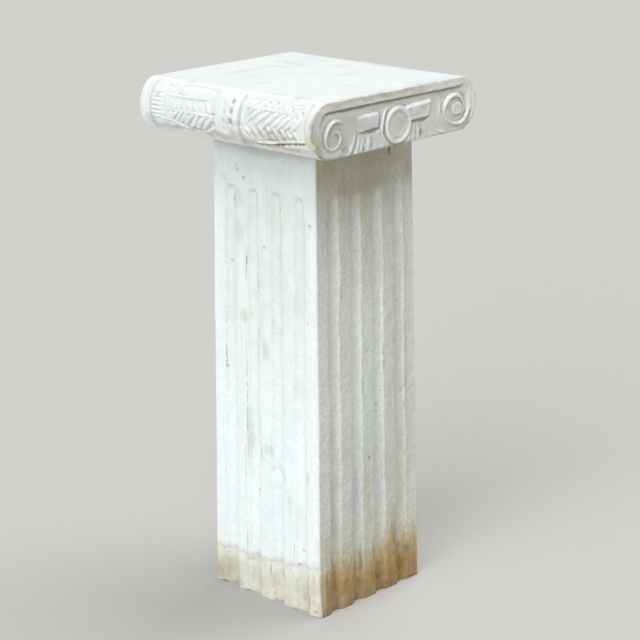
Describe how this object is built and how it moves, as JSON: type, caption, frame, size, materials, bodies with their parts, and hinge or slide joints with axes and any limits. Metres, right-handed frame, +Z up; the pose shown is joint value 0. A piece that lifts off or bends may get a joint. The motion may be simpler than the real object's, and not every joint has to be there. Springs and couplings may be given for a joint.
{
  "type": "marble pedestal",
  "caption": "Square fluted shaft, tapering slightly, under a low Ionic capital with volutes and leaf-carved rolls, to stand a bust or a plant on.",
  "frame": {"origin": "centre of the shaft's underside, on the ground", "axes": "+Z up the shaft to the flat top; -Y out of the volute face with the worn corner at its -X end; the leaf-carved rolls run along Y at -X and +X"},
  "size_m": [0.3308, 0.3394, 0.762],
  "materials": {
    "capital_marble": "satin",
    "shaft_marble": "matte"
  },
  "bodies": {
    "root": {"capital": "capital_marble", "shaft": "shaft_marble"}
  },
  "joints": []
}
